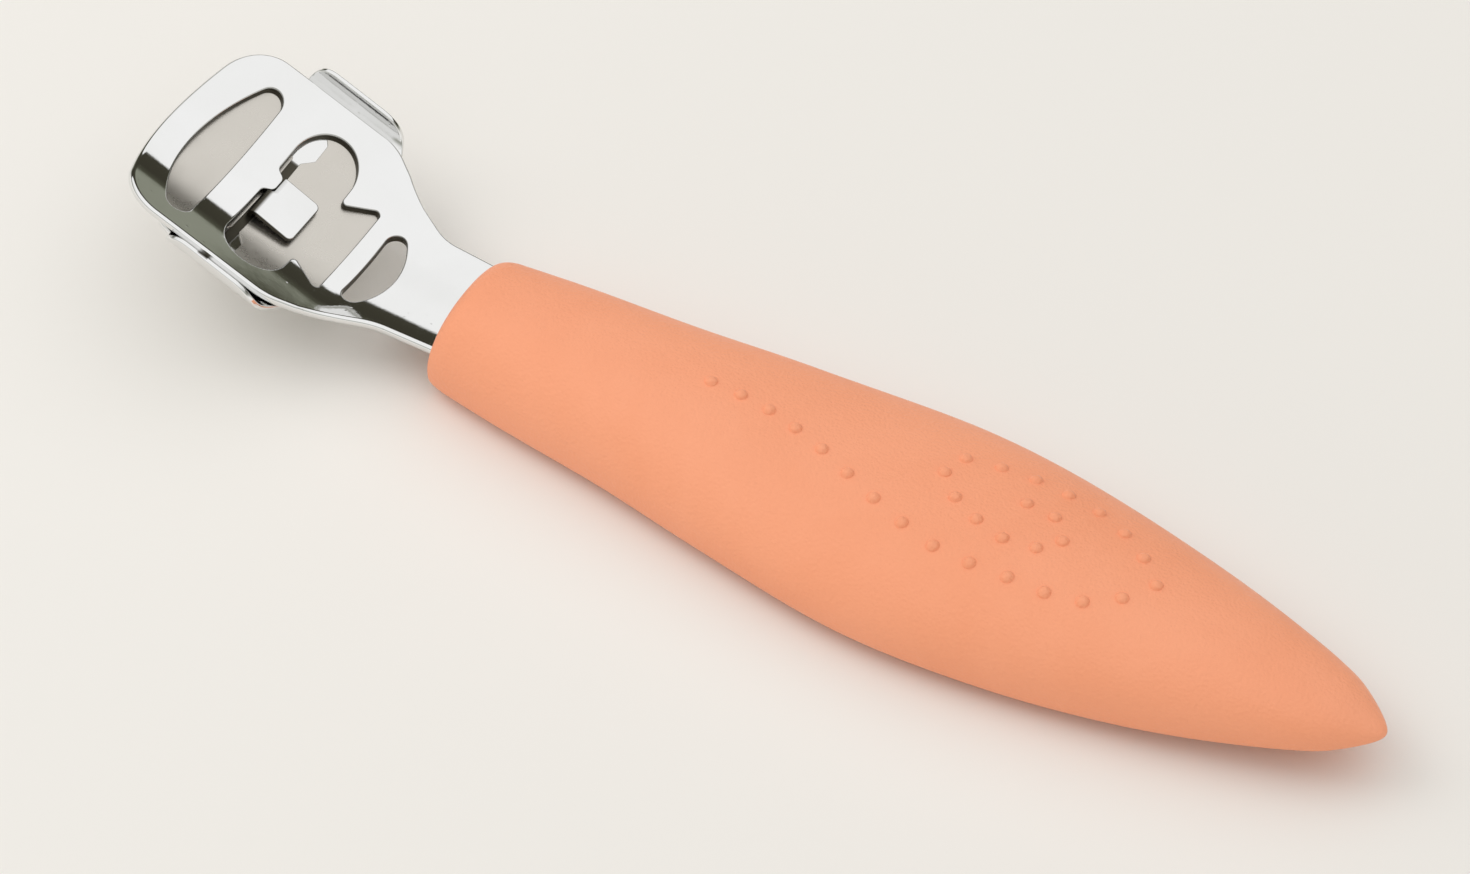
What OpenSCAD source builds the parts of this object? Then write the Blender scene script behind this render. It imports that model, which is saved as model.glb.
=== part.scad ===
// Callus shaver with a curved sheet head, a bowed blade, a guard plate and a moulded handle.
// Millimetres. +X runs from the head to the tip of the handle, +Z is up, and the tool
// lies on the plane Z = 0 with its length and width centred on the origin.
// Plan coordinates on the sheets are [s, y]: s is the distance along the tool from the
// bend, minus on the head and plus on the tang, and y is the distance across.

/* [Sheet head] */
// Thickness of the stamped head plate
plate_t = 1.1; // [0.8:0.1:1.4]
// Radius of the trough that the head and tang are pressed to, upper face
trough_r = 25.8; // [24:0.2:32]
// Angle by which the head rises in front of the bend
head_rise = 20.7; // [12:0.1:26]
// Half of the head's width, straight across
head_half_w = 14.7; // [14:0.1:16]
// Radius of the front edge in plan
front_r = 38; // [30:1:60]
// Radius of the two front corners in plan
corner_r = 6.5; // [4:0.5:8]
// Width of the solid band in front of the front window
front_band = 4.1; // [3.5:0.1:6]
// Distance from the bend to where the shoulders meet the sides
shoulder_front = 6; // [5:0.5:7]
// Distance from the bend to where the shoulders meet the tang
shoulder_back = 6.8; // [6:0.2:8]
// Radius of the shoulders, both bends
shoulder_r = 8; // [4:0.5:9]

/* [Windows] */
// Solid strip between the bend and the rear window
rear_strip = 2.4; // [2:0.1:3]
// Length of the rear window along the tool
rear_window_l = 13.3; // [12.8:0.1:14.2]
// Radius of the two round lobes of the rear window
lobe_r = 4.2; // [3.8:0.1:4.3]
// Distance of each lobe's centre from the middle
lobe_y = 7.1; // [6.8:0.1:7.6]
// Distance of each tooth's tip from the middle
tooth_y = 4.9; // [4.4:0.1:5.5]
// Radius of the teeth's tips
tooth_r = 0.4; // [0.2:0.1:0.8]
// Half of the width of the rear window at its back
rear_window_half_w = 7.2; // [6.4:0.1:7.8]
// Size of its cut back corners
corner_cut = 0.5; // [0.4:0.05:0.6]
// Width of the crossbar along the tool
crossbar_w = 4.45; // [4:0.05:5]
// Radius of the bump on the rear edge of the crossbar
bump_r = 1.35; // [1:0.05:1.4]
// Distance of the bump from the middle
bump_y = 2.2; // [2.1:0.1:2.5]
// Length of the front window along the tool
front_window_l = 6.15; // [5:0.05:6.5]
// Distance of the front window's end curves from the middle
front_window_y = 9.6; // [8:0.1:10]
// Radius of the front window's end curves
front_window_end_r = 1.7; // [1.2:0.1:2]
// Distance from the bend to the half-moon hole behind it
moon_gap = 0.25; // [0.15:0.05:1]
// Length of the half-moon hole
moon_l = 4.3; // [4:0.05:5]
// Distance of the half-moon's end curves from the middle
moon_y = 4.6; // [3.5:0.1:4.8]
// Radius of the half-moon's end curves
moon_end_r = 1.45; // [1:0.05:1.6]

/* [Tang] */
// Half of the tang's width where it leaves the head
tang_half_w = 8.2; // [7.4:0.1:8.4]
// Half of the tang's width at its end inside the handle
tang_end_half_w = 5.5; // [4:0.5:6.5]
// Length of the tang inside the handle
tang_inside = 52; // [20:1:60]
// Room left around the tang in the handle
tang_clearance = 0.05; // [0.02:0.01:0.1]

/* [Blade] */
// Thickness of the blade
blade_t = 0.15; // [0.1:0.05:0.3]
// Size of the blade along the tool, from one cutting edge to the other
blade_w = 25.6; // [25:0.1:26]
// Half of the blade's size across the tool
blade_half_l = 13.3; // [12.5:0.1:13.5]
// Size of the nipped corners
blade_nip = 2.2; // [2:0.1:3]
// Width of the blade's slot
slot_w = 1.1; // [0.95:0.05:1.5]
// Width of the slot's six-sided ends
slot_end_w = 3.7; // [2.5:0.1:4.4]
// Distance from the middle to where the slot starts to widen
slot_end_y = 6.7; // [6:0.1:7.2]
// Width of the blade left between each slot end and the blade's own end
slot_end_rim = 1.7; // [1.4:0.1:2.4]

/* [Guard plate] */
// Thickness of the guard plate
guard_t = 0.65; // [0.5:0.05:0.8]
// How far the ears' rims stand out past the head plate's edges
ear_reach = 2.1; // [1.6:0.1:3.6]
// Front end of the ears' rims, measured from the bend
ear_front = 20; // [18:0.1:22]
// How far the foot of each ear reaches in front of its rim
ear_foot = 2.2; // [0.5:0.1:3]
// Height that the rim of each ear stands above the plate's edge
ear_rise = 1.5; // [0.5:0.1:2]
// How much further forward the ears' back ends lie than the guard plate's back edge
ear_slant = 3.6; // [3:0.1:6]
// Radius of the ears' front corners in plan
ear_front_r = 2; // [1:0.1:2]
// Radius of the ears' back corners in plan
ear_back_r = 5; // [2:0.1:6]
// Gap between the head plate's edge and the rim
ear_gap = 0.3; // [0.2:0.05:0.5]
// How far the cutting edges stand out past the guard plate
edge_reach = 1.6; // [1:0.1:2.5]
// How far the blade's ends stand out past the guard plate's front and back
end_reach = 1; // [0.5:0.1:2]
// Length of the hook's flat
hook_l = 5.45; // [4:0.05:6]
// Width of the hook's flat
hook_w = 6.7; // [5.8:0.1:7]
// Radius of the flat's two corners
hook_corner_r = 0.8; // [0:0.1:1.5]
// Height of the hook's top above the trough's floor
hook_top = 0.45; // [0.3:0.05:0.8]
// Slope of the hook's flat, down towards the handle
hook_droop = 5; // [0:1:6]
// Radius inside the hook's bend
hook_bend_r = 0.3; // [0.2:0.05:0.4]
// Gap between the crossbar and the root of the hook
hook_gap = 0.5; // [0.2:0.05:0.6]
// Clearance around the hook in the slot and at the bump
hook_clearance = 0.15; // [0.1:0.01:0.2]

/* [Handle] */
// Distance from the bend to the front face of the handle
handle_start = 15; // [14:0.5:20]
// Length of the handle
handle_l = 126.4; // [110:0.1:150]
// Half width just behind the front face
handle_front_w = 9.2; // [9:0.1:10.5]
// Half width at the slight waist
handle_waist_w = 12.4; // [11.5:0.1:13.5]
// Half width at the broadest place
handle_belly_w = 16.9; // [15:0.1:17]
// Half width near the tip
handle_tip_w = 7.4; // [6.5:0.1:8.5]
// Height of the upper face above the trough's floor
handle_top = 6.7; // [5.5:0.1:8]
// Depth of the flat underside below the trough's floor
handle_bottom = 6; // [5.5:0.1:8]
// Share of the thickness that lies below the widest line
widest_share = 0.34; // [0.3:0.01:0.45]
// Rise of the underside from the flat up to the tip
toe_rise = 6.4; // [4:0.1:7]
// Thickness that the tip is rounded from
tip_t = 2.6; // [1.5:0.1:4]
// Length over which the front end is rounded
front_round = 3; // [2:0.1:4]
// Length over which the tip is rounded
tip_round = 7; // [4:0.5:10]
// Number of raised grip dots
dot_count = 30; // [20:1:34]
// Diameter of the raised grip dots
dot_d = 1.6; // [1.2:0.1:2]
// Height of the dots above the surface
dot_h = 0.4; // [0.3:0.05:0.6]

/* [Hidden] */
$fn = 72;

// Places along the head, as distances in front of the bend
rear_window_front = rear_strip + rear_window_l;
front_window_back = rear_window_front + crossbar_w;
front_window_front = front_window_back + front_window_l;
head_l = front_window_front + front_band;

// Radii of the nested troughs: plate, blade and guard plate
plate_r = trough_r + plate_t;
blade_r = plate_r + blade_t;
guard_r = blade_r + guard_t;
// Height of the head plate's upper edge above the trough's floor
edge_z = trough_r - sqrt(trough_r * trough_r - head_half_w * head_half_w);
// Half of the guard plate's width at the ears
ear_half_w = head_half_w + ear_reach;

// The plan cuts reach this far below the trough's floor, past all three sheets
cut_depth = trough_r / 5;

// The hook's root stands behind the crossbar, and the blade's slot lies around it
hook_front = rear_window_front - hook_gap;
slot_mid = hook_front + hook_clearance - slot_w / 2;

// Far end of the tang, inside the handle
tang_end = handle_start + tang_inside;

// The tool is moved so that it lies on Z = 0 around the middle of its length
front_x = -(head_l * cos(head_rise) + plate_t * sin(head_rise));
tip_x = handle_start + handle_l;
mid_x = (front_x + tip_x) / 2;

// Path of the grip dots, a line that curls into a spiral, in hundredths of the
// handle's length and of its greatest half width
dot_path = [[26, 6], [33, 5], [40, -4], [47, -22], [54, -39], [62, -40], [69, -29], [75, 5],
            [73, 23], [67, 45], [59, 50], [52, 43], [50, 29], [52, 12], [56, -2], [60, -12],
            [63, -7], [66, 5], [63, 22], [60, 24]];

// Points of an arc
function arc(centre, r, a0, a1, n = 16) =
    [for (i = [0:n]) let (a = a0 + (a1 - a0) * i / n) centre + r * [cos(a), sin(a)]];

// One corner [x, y, radius] of an outline, as the arc that rounds it
function corner(a, b, c) =
    let (p = [b[0], b[1]],
         d0 = ([a[0], a[1]] - p) / norm([a[0], a[1]] - p),
         d1 = ([c[0], c[1]] - p) / norm([c[0], c[1]] - p),
         half = acos(max(-1, min(1, d0 * d1))) / 2,
         m = (d0 + d1) / norm(d0 + d1),
         centre = p + m * b[2] / sin(half),
         start = atan2(-m[1], -m[0]),
         side = sign(d0[0] * d1[1] - d0[1] * d1[0]),
         sweep = 90 - half)
    b[2] == 0 ? [p] : arc(centre, b[2], start + side * sweep, start - side * sweep, 12);

// Outline with rounded corners from a list of [x, y, radius]
function rounded(pts) =
    [for (i = [0:len(pts) - 1])
        each corner(pts[(i + len(pts) - 1) % len(pts)], pts[i], pts[(i + 1) % len(pts)])];

// The same outline seen in the mirror y = 0, in the other order
function mirrored(pts) = [for (i = [len(pts) - 1:-1:0]) [pts[i][0], -pts[i][1]]];

// A D-shaped hole: straight at s = 0, bowed to s = length, with round ends
function bow_centre(length, end_y, end_r) =
    let (a = length - end_r) (a * a - end_r * end_r - end_y * end_y) / (2 * (a - end_r));
function bow_outline(length, end_y, end_r) =
    let (c = bow_centre(length, end_y, end_r),
         tangent = atan2(end_y, end_r - c))
    concat(arc([c, 0], length - c, -tangent, tangent, 32),
           arc([end_r, end_y], end_r, tangent, 180),
           arc([end_r, -end_y], end_r, 180, 360 - tangent));

// Frame of the head: X back along the head, Z out of the trough, origin on the bend
module head_frame() {
    rotate([0, head_rise, 0]) children();
}

// Trough shell between two radii, long enough for the head and the tang
module trough(inner, outer) {
    reach = head_l + tip_x;
    translate([0, 0, trough_r]) rotate([0, 90, 0]) difference() {
        cylinder(r = outer, h = 2 * reach, center = true, $fn = 180);
        cylinder(r = inner, h = 2 * reach + 2, center = true, $fn = 180);
    }
}

// A plan figure pressed into the trough: what the figure covers of the shell
module pressed(inner, outer) {
    intersection() {
        trough(inner, outer);
        translate([0, 0, -cut_depth]) linear_extrude(cut_depth + trough_r / 2) children();
    }
}

// Everything on the head's side of the bend, or with side = 1 on the tang's side.
// The two halves meet in the plane that halves the bend
module half_space(side) {
    big = 3 * (head_l + tip_x);
    rotate([0, head_rise / 2, 0])
        translate([side > 0 ? 0 : -big, -big / 2, -big / 2]) cube(big);
}

module head_outline() {
    reach = front_r - corner_r;
    front_c = -head_l + front_r;
    corner_y = head_half_w - corner_r;
    corner_s = front_c - sqrt(reach * reach - corner_y * corner_y);
    turn = atan2(corner_y, front_c - corner_s);
    side = concat(
        arc([front_c, 0], front_r, 180, 180 - turn, 16),
        arc([corner_s, corner_y], corner_r, 180 - turn, 90),
        corner([corner_s, head_half_w], [-shoulder_front, head_half_w, shoulder_r],
               [shoulder_back, tang_half_w]),
        corner([-shoulder_front, head_half_w], [shoulder_back, tang_half_w, shoulder_r],
               [tang_end, tang_end_half_w]),
        corner([shoulder_back, tang_half_w], [tang_end, tang_end_half_w, 3], [tang_end, 0]));
    polygon(concat(side, mirrored(side)));
}

// Two round lobes in front, a tooth on each side, and a straight back edge; the bump of
// the crossbar stands into it
module rear_window() {
    s0 = -rear_window_front;
    lobe_s = s0 + 2 * lobe_r;
    outer = lobe_y + lobe_r;
    // Each lobe's two arcs just miss each other, which keeps the outline's points apart
    round_r = 0.995 * lobe_r;
    // Behind the teeth the window is a trapezoid with its back corners cut
    side = [[lobe_s, outer, round_r], [lobe_s + 0.1, tooth_y, tooth_r],
            [-rear_strip - corner_cut, rear_window_half_w, corner_cut],
            [-rear_strip, rear_window_half_w - corner_cut, 0.2]];
    polygon(rounded(concat(
        [[s0, outer, round_r]], side,
        [for (i = [len(side) - 1:-1:0]) [side[i][0], -side[i][1], side[i][2]]],
        [[s0, -outer, round_r], [s0, bump_y - bump_r, 0.1],
         [s0 + bump_r, bump_y - bump_r, 0.7 * bump_r], [s0 + bump_r, bump_y + bump_r, 0.7 * bump_r],
         [s0, bump_y + bump_r, 0.1]])));
}

module front_window() {
    translate([-front_window_back, 0]) mirror([1, 0])
        polygon(bow_outline(front_window_l, front_window_y, front_window_end_r));
}

module head_figure() {
    difference() {
        head_outline();
        rear_window();
        front_window();
        translate([moon_gap, 0]) polygon(bow_outline(moon_l, moon_y, moon_end_r));
    }
}

module placed() {
    translate([-mid_x, 0, handle_bottom]) children();
}

module head_plate() {
    color("silver") placed() union() {
        intersection() {
            head_frame() pressed(trough_r, plate_r) head_figure();
            half_space(-1);
        }
        intersection() {
            pressed(trough_r, plate_r) head_figure();
            half_space(1);
        }
    }
}

module blade_figure() {
    s0 = -slot_mid;
    half = blade_w / 2;
    slant = slot_end_w / 2 - slot_w / 2;
    far = blade_half_l - slot_end_rim;
    end = [[slot_w / 2, slot_end_y], [slot_end_w / 2, slot_end_y + slant],
           [slot_end_w / 2, far - slant], [slot_w / 2, far],
           [-slot_w / 2, far], [-slot_end_w / 2, far - slant],
           [-slot_end_w / 2, slot_end_y + slant], [-slot_w / 2, slot_end_y]];
    translate([s0, 0]) difference() {
        polygon([[half, blade_half_l - blade_nip], [half - blade_nip, blade_half_l],
                 [blade_nip - half, blade_half_l], [-half, blade_half_l - blade_nip],
                 [-half, blade_nip - blade_half_l], [blade_nip - half, -blade_half_l],
                 [half - blade_nip, -blade_half_l], [half, blade_nip - blade_half_l]]);
        polygon(concat(end, mirrored(end)));
    }
}

module blade() {
    color("lightgray") placed() head_frame() pressed(plate_r, blade_r) blade_figure();
}

// Radii of the guard plate's four corners under the blade and of the ears' feet
guard_corner_r = 1.5;
foot_corner_r = 1;

// Outline of the guard plate, drawn in by the given distance
module guard_outline(inset = 0) {
    front = slot_mid + blade_w / 2 - edge_reach - inset;
    back = slot_mid - blade_w / 2 + edge_reach + inset;
    neck = blade_half_l - end_reach;
    // The foot ends under the head plate
    foot = head_half_w - guard_t;
    w = ear_half_w - inset;
    side = [[-front, neck - inset, guard_corner_r], [-ear_front - ear_foot, neck, 0],
            [-ear_front - ear_foot, foot, foot_corner_r], [-ear_front + inset, head_half_w, 0],
            [-ear_front + inset, w, ear_front_r], [-back - ear_slant, w, ear_back_r],
            [-back, neck, guard_corner_r]];
    other = [for (i = [len(side) - 1:-1:0]) [side[i][0], -side[i][1], side[i][2]]];
    polygon(rounded(concat(side, other)));
}

// The rims of the two ears, outside the head plate's edges
module ear_rims() {
    difference() {
        guard_outline();
        guard_outline(guard_t);
        square([4 * head_l, 2 * (head_half_w + ear_gap)], center = true);
    }
}

// Side view of the hook as [s, height]: up through the slot, round the bend, back in a flat
module hook_profile() {
    bend_out = hook_bend_r + guard_t;
    bend_z = hook_top - bend_out;
    floor_z = trough_r - blade_r - guard_t / 2;
    translate([-hook_front, floor_z]) square([guard_t, bend_z - floor_z]);
    translate([bend_out - hook_front, bend_z]) {
        intersection() {
            difference() {
                circle(bend_out, $fn = 48);
                circle(hook_bend_r, $fn = 48);
            }
            polygon([[0, 0], 2 * bend_out * [sin(hook_droop), cos(hook_droop)],
                     2 * bend_out * [-1, 1], 2 * bend_out * [-1, 0]]);
        }
        rotate(-hook_droop) translate([0, hook_bend_r]) square([hook_l, guard_t]);
    }
}

module hook() {
    near = -hook_w / 2;
    // The root is narrower than the flat, because the bump stands beside it
    root_y = bump_y - bump_r - hook_clearance;
    wide_s = -rear_window_front + bump_r + hook_clearance;
    rear_s = hook_bend_r + guard_t - hook_front + hook_l;
    intersection() {
        translate([0, hook_w, 0]) rotate([90, 0, 0]) linear_extrude(2 * hook_w) hook_profile();
        translate([0, 0, -cut_depth]) linear_extrude(2 * cut_depth)
            polygon(rounded([[-hook_front - 1, near, 0], [rear_s, near, hook_corner_r],
                             [rear_s, -near, hook_corner_r], [wide_s, -near, 0],
                             [wide_s, root_y, 0], [-hook_front - 1, root_y, 0]]));
    }
}

module blade_holder() {
    rim_top = edge_z + ear_rise;
    color("gainsboro") placed() head_frame() union() {
        pressed(blade_r, guard_r) guard_outline();
        intersection() {
            translate([0, 0, -cut_depth]) linear_extrude(cut_depth + rim_top) ear_rims();
            translate([0, 0, trough_r]) rotate([0, 90, 0])
                cylinder(r = guard_r, h = 4 * head_l, center = true, $fn = 180);
        }
        hook();
    }
}

// Smooth curve through [place, value] stations
function slope(k, i) =
    i == 0 ? (k[1][1] - k[0][1]) / (k[1][0] - k[0][0]) :
    i == len(k) - 1 ? (k[i][1] - k[i - 1][1]) / (k[i][0] - k[i - 1][0]) :
    (k[i + 1][1] - k[i - 1][1]) / (k[i + 1][0] - k[i - 1][0]);
function span(k, x, i = 0) = i >= len(k) - 2 || x <= k[i + 1][0] ? i : span(k, x, i + 1);
function smooth(k, x) =
    let (i = span(k, x), h = k[i + 1][0] - k[i][0], t = (x - k[i][0]) / h,
         m0 = slope(k, i) * h, m1 = slope(k, i + 1) * h)
    (2 * t * t * t - 3 * t * t + 1) * k[i][1] + (t * t * t - 2 * t * t + t) * m0
    + (3 * t * t - 2 * t * t * t) * k[i + 1][1] + (t * t * t - t * t) * m1;

// Stations as shares of the handle's length
width_keys = [[0, handle_front_w], [0.09, (handle_front_w + handle_waist_w) / 2],
              [0.21, handle_waist_w], [0.33, (handle_waist_w + handle_belly_w) / 2],
              [0.49, handle_belly_w], [0.62, 0.94 * handle_belly_w],
              [0.78, (handle_belly_w + handle_tip_w) / 2], [0.91, handle_tip_w], [1, handle_tip_w / 2.6]];
top_keys = [[0, handle_top - 0.2], [0.12, handle_top + 0.1], [0.27, handle_top + 0.1],
            [0.44, handle_top - 0.4], [0.63, handle_top + 0.5], [0.78, handle_top], [0.91, handle_top - 1.4],
            [1, handle_top - 3.7]];

// The underside is lofted a little lower and then cut flat
sole_cut = 0.2;
toe_start = 0.63;
function top_z(t) = smooth(top_keys, t);
function bottom_z(t) =
    let (u = max(0, t - toe_start) / (1 - toe_start))
    min(-handle_bottom - sole_cut + toe_rise * u * u, top_z(t) - tip_t);

// Rounding of the two ends: 1 along the body, less towards the front face and the tip.
// At the front face the top is drawn in more than the sides
front_share_w = 0.94;
front_share_up = 0.64;
front_share_down = 0.9;
function end_scale(t, share) =
    let (x = t * handle_l,
         a = max(0, 1 - x / front_round),
         b = max(0, 1 - (handle_l - x) / tip_round))
    (share + (1 - share) * sqrt(1 - a * a)) * sqrt(max(0, 1 - b * b));

function handle_half_w(t) = smooth(width_keys, t) * end_scale(t, front_share_w);
function handle_mid_z(t) = bottom_z(t) + widest_share * (top_z(t) - bottom_z(t));
function handle_up(t) = (top_z(t) - handle_mid_z(t)) * end_scale(t, front_share_up);
function handle_down(t) = (handle_mid_z(t) - bottom_z(t)) * end_scale(t, front_share_down);

// One cross-section: rounder above its widest line, flatter below
upper_power = 2.2;
lower_power = 3;
function power(v, p) = sign(v) * pow(abs(v), 2 / p);
function ring(t, n) =
    [for (i = [0:n - 1]) let (a = 360 * i / n, p = sin(a) >= 0 ? upper_power : lower_power)
        [handle_start + t * handle_l, handle_half_w(t) * power(cos(a), p),
         handle_mid_z(t) + (sin(a) >= 0 ? handle_up(t) : handle_down(t)) * power(sin(a), p)]];

// Upper surface of the handle at a place in plan
function handle_surface(x, y) =
    let (t = (x - handle_start) / handle_l, q = min(0.98, abs(y) / handle_half_w(t)))
    handle_mid_z(t) + handle_up(t) * pow(1 - pow(q, upper_power), 1 / upper_power);

// Rings follow the rounding of the two ends in equal steps of angle
ring_sides = 44;
body_rings = 34;
body_l = handle_l - front_round - tip_round;
ring_places = concat(
    [for (a = [0:18:72]) front_round * (1 - cos(a))],
    [for (i = [0:body_rings]) front_round + body_l * i / body_rings],
    [for (a = [78:-12:6]) handle_l - tip_round * (1 - cos(a))],
    [handle_l - 0.002 * tip_round]);

module handle_body() {
    n = ring_sides;
    m = len(ring_places);
    rings = [for (x = ring_places) each ring(x / handle_l, n)];
    faces = concat(
        [[for (i = [0:n - 1]) i]],
        [for (k = [0:m - 2], i = [0:n - 1])
            let (a = k * n + i, b = k * n + (i + 1) % n) each [[a, a + n, b + n], [a, b + n, b]]],
        [[for (i = [n - 1:-1:0]) (m - 1) * n + i]]);
    difference() {
        polyhedron(points = rings, faces = faces, convexity = 4);
        translate([0, -2 * handle_belly_w, -2 * handle_bottom])
            cube([tip_x, 4 * handle_belly_w, handle_bottom]);
    }
}

// The grip dots stand evenly along their path
dot_steps = 8;
path_x = [for (i = [0:len(dot_path) - 1]) [i, handle_start + dot_path[i][0] / 100 * handle_l]];
path_y = [for (i = [0:len(dot_path) - 1]) [i, dot_path[i][1] / 100 * handle_belly_w]];
dot_line = [for (k = [0:dot_steps * (len(dot_path) - 1)])
    [smooth(path_x, k / dot_steps), smooth(path_y, k / dot_steps)]];
dot_run = [for (i = 0, s = 0; i < len(dot_line);
    s = s + (i + 1 < len(dot_line) ? norm(dot_line[i + 1] - dot_line[i]) : 0), i = i + 1) s];
function on_path(s, axis) = lookup(s, [for (i = [0:len(dot_line) - 1]) [dot_run[i], dot_line[i][axis]]]);

module grip_dots() {
    r = (dot_d * dot_d / 4 + dot_h * dot_h) / (2 * dot_h);
    for (k = [0:dot_count - 1]) {
        s = dot_run[len(dot_run) - 1] * k / (dot_count - 1);
        x = on_path(s, 0);
        y = on_path(s, 1);
        translate([x, y, handle_surface(x, y) + dot_h - r]) sphere(r = r, $fn = 20);
    }
}

// Room for the tang, the plate's own shape with a little clearance
module tang_pocket() {
    c = tang_clearance;
    pressed(trough_r - c, plate_r + c) polygon([
        [shoulder_back, -tang_half_w - c], [tang_end + c, -tang_end_half_w - c],
        [tang_end + c, tang_end_half_w + c], [shoulder_back, tang_half_w + c]]);
}

module handle() {
    color("salmon") placed() difference() {
        union() {
            handle_body();
            grip_dots();
        }
        tang_pocket();
    }
}

head_plate();
blade();
blade_holder();
handle();
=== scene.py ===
from math import asin, atan2, cos, pi, radians, sin, sqrt, tan

import bpy
import numpy as np
from mathutils import Matrix, Vector
from mathutils.geometry import delaunay_2d_cdt


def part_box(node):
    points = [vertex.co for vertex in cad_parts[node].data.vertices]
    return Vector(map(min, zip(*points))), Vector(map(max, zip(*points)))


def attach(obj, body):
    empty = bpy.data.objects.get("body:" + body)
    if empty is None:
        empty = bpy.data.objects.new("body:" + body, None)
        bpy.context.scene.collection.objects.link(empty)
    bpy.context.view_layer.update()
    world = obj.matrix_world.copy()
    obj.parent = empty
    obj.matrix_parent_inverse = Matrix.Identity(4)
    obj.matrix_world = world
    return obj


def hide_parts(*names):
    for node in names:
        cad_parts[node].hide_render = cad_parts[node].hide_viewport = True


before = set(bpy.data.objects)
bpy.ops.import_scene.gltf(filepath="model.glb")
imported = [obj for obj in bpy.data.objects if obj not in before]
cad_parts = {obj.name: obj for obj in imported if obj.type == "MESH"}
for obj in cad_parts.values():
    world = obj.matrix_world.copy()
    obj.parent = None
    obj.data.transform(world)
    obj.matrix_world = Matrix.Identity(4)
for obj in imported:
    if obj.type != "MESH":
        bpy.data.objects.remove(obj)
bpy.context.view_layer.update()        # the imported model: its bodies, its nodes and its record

mm = 0.001
print("frame loaded")

# All shapes are worked out in millimetres. s runs along the tool from the bend, minus on the
# head and plus towards the handle's tip, y runs across, and n is the height above the trough's
# floor. onTool carries them into the part's own frame.
tool = {
    "headRise": 20.7,       # degrees by which the head rises in front of the bend
    "bendR": 13.0,          # radius of the bend, upper face
    "troughR": 23.5,        # radius of the trough's floor
    "flankFrom": 10.0,      # from the middle to where the flanks run on straight
    "settle": 0.0028,       # how fast the flanks fall away towards the bend
    "settleFrom": 20.0,     # in front of the bend, where that starts
    "settleTo": 4.0,        # and where it is complete
    "settleY": 7.0,         # from the middle to where the flanks start to fall away
    "plateT": 1.1,          # thickness of the head plate
    "bladeT": 0.15,         # thickness of the blade
    "guardT": 0.65,         # thickness of the guard plate
    "handleStart": 15.0,    # from the bend to the front face of the handle
}
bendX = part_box("handle")[0].x / mm - tool["handleStart"]
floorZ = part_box("head_plate")[0].z / mm + tool["plateT"]
handleL = (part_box("handle")[1].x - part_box("handle")[0].x) / mm
flankSlope = asin(tool["flankFrom"] / tool["troughR"])
headTurn = radians(tool["headRise"])
bendReach = tool["bendR"] * tan(headTurn / 2)    # the bend's arc runs this far to both sides


# Height of the pressed sheet at y. A face offset by h from the upper one is a circle of radius
# troughR - h about the trough's centre, and from the flank on the tangent to it
def pressedHeight(y, h):
    r = tool["troughR"] - h
    flankY = r * sin(flankSlope)
    side = np.abs(y)
    onCircle = tool["troughR"] - np.sqrt(r * r - np.minimum(side, flankY) ** 2)
    return onCircle + np.maximum(side - flankY, 0) * tan(flankSlope)


# Behind the bend x = s and z = n. In front of it the section is turned up by headRise, and
# between the two it runs round an arc of radius bendR. Towards the bend the flanks flatten a
# little, by settle * (|y| - settleY)^2, which comes on smoothly from settleFrom to settleTo
def onTool(s, y, n):
    nearBend = np.clip((s + tool["settleFrom"]) / (tool["settleFrom"] - tool["settleTo"]), 0, 1)
    past = np.maximum(np.abs(y) - tool["settleY"], 0)
    n = n - tool["settle"] * nearBend ** 2 * (3 - 2 * nearBend) * past ** 2
    turn = headTurn * np.clip((bendReach - s) / (2 * bendReach), 0, 1)
    behind = np.maximum(s - bendReach, 0)
    ahead = np.minimum(s + bendReach, 0)
    x = bendReach + behind - (tool["bendR"] - n) * np.sin(turn) + ahead * cos(headTurn)
    z = tool["bendR"] - (tool["bendR"] - n) * np.cos(turn) - ahead * sin(headTurn)
    return np.stack([x + bendX, y + 0 * x, z + floorZ], axis=-1)


# Outlines
cornerSteps = 24            # points on each rounded corner
bowSteps = 90               # and on the bowed side of a hole
outlineStep = 0.14          # between the points of a sheet's outline
rowShare = 0.87             # between the rows of a triangular grid, as a share of its pitch
insetShare = 1.25           # a sheet's flat faces start this far in, against its edge radius
shadeFade = 0.12             # width over which the painted shade fades out


# Points on a circle round the centre, evenly from the angle start to the angle end
def arcPoints(centre, r, start, end, count=48):
    a = np.linspace(start, end, count)
    return np.column_stack([centre[0] + r * np.cos(a), centre[1] + r * np.sin(a)])


# Arc of radius r that touches both straight runs of the corner a, b, c
def cornerPoints(a, b, c, r):
    a, b, c = np.array([a, b, c], float)
    back = (a - b) / np.linalg.norm(a - b)
    ahead = (c - b) / np.linalg.norm(c - b)
    half = np.arccos(np.clip(back @ ahead, -1, 1)) / 2
    middle = (back + ahead) / np.linalg.norm(back + ahead)
    side = np.sign(back[0] * ahead[1] - back[1] * ahead[0])
    start = atan2(-middle[1], -middle[0])
    sweep = side * (pi / 2 - half)
    return arcPoints(b + middle * r / sin(half), r, start + sweep, start - sweep, cornerSteps)


# Closed outline with every corner (s, y, radius) rounded
def roundedLoop(corners):
    ahead = corners[1:] + corners[:1]
    behind = corners[-1:] + corners[:-1]
    return np.vstack([cornerPoints(a[:2], b[:2], c[:2], b[2])
                      for a, b, c in zip(behind, corners, ahead)])


# One side's corners followed by the same ones across the middle line
def bothSides(side):
    return side + [(s, -y, r) for s, y, r in reversed(side)]


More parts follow.
